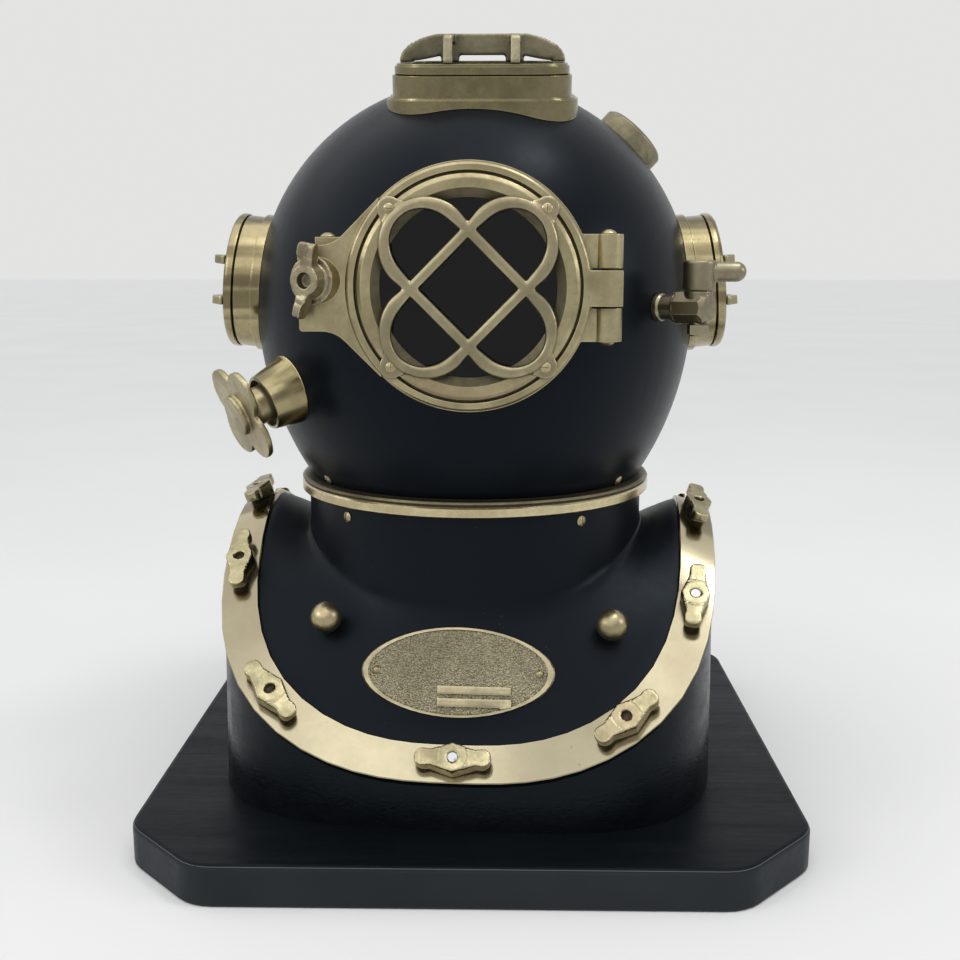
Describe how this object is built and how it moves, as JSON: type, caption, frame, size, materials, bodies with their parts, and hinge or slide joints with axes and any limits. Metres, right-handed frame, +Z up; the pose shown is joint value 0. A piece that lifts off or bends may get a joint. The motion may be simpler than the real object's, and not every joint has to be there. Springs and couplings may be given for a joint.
{
  "type": "diving helmet",
  "caption": "Hard-hat diving helmet with hinged faceplate, guarded ports, valves and wing-nut breastplate, bolted to a wooden display stand.",
  "frame": {"origin": "middle of the underside of the base board", "axes": "+Z up, -Y towards the faceplate, +X to the hinge side"},
  "size_m": [0.422, 0.422, 0.5152],
  "materials": {
    "painted_wood": "satin black paint",
    "black_paint": "satin black paint over copper",
    "port_glass": "clear",
    "leather": "dull",
    "steel": "zinc plated",
    "polished_brass": "worn polish",
    "aged_brass": "antique, dull"
  },
  "bodies": {
    "stand": {"base_board": "painted_wood", "plinth": "painted_wood", "stand_screws": "steel", "breastplate_shell": "black_paint", "neck_ring": "polished_brass", "neck_ring_screws": "aged_brass", "neck_washer": "leather", "rim_strap": "polished_brass", "rim_studs": "aged_brass", "ball_studs": "aged_brass", "nameplate": "aged_brass", "nameplate_rivets": "aged_brass"},
    "bonnet": {"bonnet_dome": "black_paint", "bonnet_ring": "aged_brass", "bonnet_ring_screws": "aged_brass", "door_seat": "aged_brass", "door_seat_gasket": "leather", "hinge_pin": "aged_brass", "latch_pin": "aged_brass", "side_frame_left": "polished_brass", "side_frame_right": "polished_brass", "side_glass_left": "port_glass", "side_glass_right": "port_glass", "side_ring_left": "polished_brass", "side_ring_right": "polished_brass", "side_guard_left": "aged_brass", "side_guard_right": "aged_brass", "top_frame": "aged_brass", "top_glass": "port_glass", "top_ring": "aged_brass", "top_guard": "aged_brass", "port_gaskets": "leather", "exhaust_body": "polished_brass", "spitcock_body": "aged_brass", "air_boss": "aged_brass"},
    "door": {"door_frame": "aged_brass", "door_glass": "port_glass", "door_gasket": "leather", "glass_retainer": "aged_brass", "door_guard": "aged_brass", "guard_screws": "aged_brass"},
    "latch_screw": {"latch_screw": "aged_brass"},
    "exhaust_wheel": {"exhaust_wheel": "aged_brass"},
    "spitcock_lever": {"spitcock_lever": "aged_brass", "spitcock_nut": "aged_brass"},
    "wing_nut_01": {"wing_nut_01": "aged_brass"},
    "wing_nut_02": {"wing_nut_02": "aged_brass"},
    "wing_nut_03": {"wing_nut_03": "aged_brass"},
    "wing_nut_04": {"wing_nut_04": "aged_brass"},
    "wing_nut_05": {"wing_nut_05": "aged_brass"},
    "wing_nut_06": {"wing_nut_06": "aged_brass"},
    "wing_nut_07": {"wing_nut_07": "aged_brass"},
    "wing_nut_08": {"wing_nut_08": "aged_brass"},
    "wing_nut_09": {"wing_nut_09": "aged_brass"},
    "wing_nut_10": {"wing_nut_10": "aged_brass"},
    "wing_nut_11": {"wing_nut_11": "aged_brass"},
    "wing_nut_12": {"wing_nut_12": "aged_brass"}
  },
  "joints": [
    {"name": "bonnet_turn", "type": "hinge", "parent": "stand", "child": "bonnet", "pos_m": [0, 0, 0.211], "axis": [0, 0, 1], "range_deg": [0, 45]},
    {"name": "door_swing", "type": "hinge", "parent": "bonnet", "child": "door", "pos_m": [0.079, -0.152, 0.3525], "axis": [0, 0, 1], "range_deg": [0, 110]},
    {"name": "latch_turn", "type": "hinge", "parent": "door", "child": "latch_screw", "pos_m": [-0.08, -0.1505, 0.357], "axis": [-0.3746, -0.9272, 0], "continuous": true},
    {"name": "exhaust_turn", "type": "hinge", "parent": "bonnet", "child": "exhaust_wheel", "pos_m": [0, 0, 0.338], "axis": [-0.7698, -0.539, -0.342], "continuous": true},
    {"name": "spitcock_turn", "type": "hinge", "parent": "bonnet", "child": "spitcock_lever", "pos_m": [0.13735, -0.11322, 0.34017], "axis": [0, 0, -1], "range_deg": [0, 90]},
    {"name": "wing_nut_01_turn", "type": "hinge", "parent": "stand", "child": "wing_nut_01", "pos_m": [-0.00963, -0.15746, 0.0645], "axis": [-0.0414, -0.6754, 0.7363], "continuous": true},
    {"name": "wing_nut_02_turn", "type": "hinge", "parent": "stand", "child": "wing_nut_02", "pos_m": [0.09696, -0.1522, 0.09001], "axis": [-0.1853, -0.6797, 0.7097], "continuous": true},
    {"name": "wing_nut_03_turn", "type": "hinge", "parent": "stand", "child": "wing_nut_03", "pos_m": [0.14423, -0.09546, 0.14933], "axis": [-0.0419, -0.6454, 0.7627], "continuous": true},
    {"name": "wing_nut_04_turn", "type": "hinge", "parent": "stand", "child": "wing_nut_04", "pos_m": [0.15304, -0.02836, 0.19396], "axis": [0.2408, -0.2877, 0.9269], "continuous": true},
    {"name": "wing_nut_05_turn", "type": "hinge", "parent": "stand", "child": "wing_nut_05", "pos_m": [0.15671, 0.04941, 0.17157], "axis": [0.1169, 0.597, 0.7937], "continuous": true},
    {"name": "wing_nut_06_turn", "type": "hinge", "parent": "stand", "child": "wing_nut_06", "pos_m": [0.12808, 0.13034, 0.10037], "axis": [-0.0821, 0.6893, 0.7198], "continuous": true},
    {"name": "wing_nut_07_turn", "type": "hinge", "parent": "stand", "child": "wing_nut_07", "pos_m": [0.00963, 0.15746, 0.0645], "axis": [0.0414, 0.6754, 0.7363], "continuous": true},
    {"name": "wing_nut_08_turn", "type": "hinge", "parent": "stand", "child": "wing_nut_08", "pos_m": [-0.11124, 0.14498, 0.10037], "axis": [0.1601, 0.6723, 0.7227], "continuous": true},
    {"name": "wing_nut_09_turn", "type": "hinge", "parent": "stand", "child": "wing_nut_09", "pos_m": [-0.14952, 0.06814, 0.17157], "axis": [-0.0503, 0.5974, 0.8004], "continuous": true},
    {"name": "wing_nut_10_turn", "type": "hinge", "parent": "stand", "child": "wing_nut_10", "pos_m": [-0.15454, 0.00405, 0.19675], "axis": [-0.2928, -0.0923, 0.9517], "continuous": true},
    {"name": "wing_nut_11_turn", "type": "hinge", "parent": "stand", "child": "wing_nut_11", "pos_m": [-0.15641, -0.06004, 0.1634], "axis": [-0.0813, -0.6251, 0.7763], "continuous": true},
    {"name": "wing_nut_12_turn", "type": "hinge", "parent": "stand", "child": "wing_nut_12", "pos_m": [-0.12559, -0.13234, 0.09817], "axis": [0.0873, -0.6915, 0.717], "continuous": true}
  ]
}
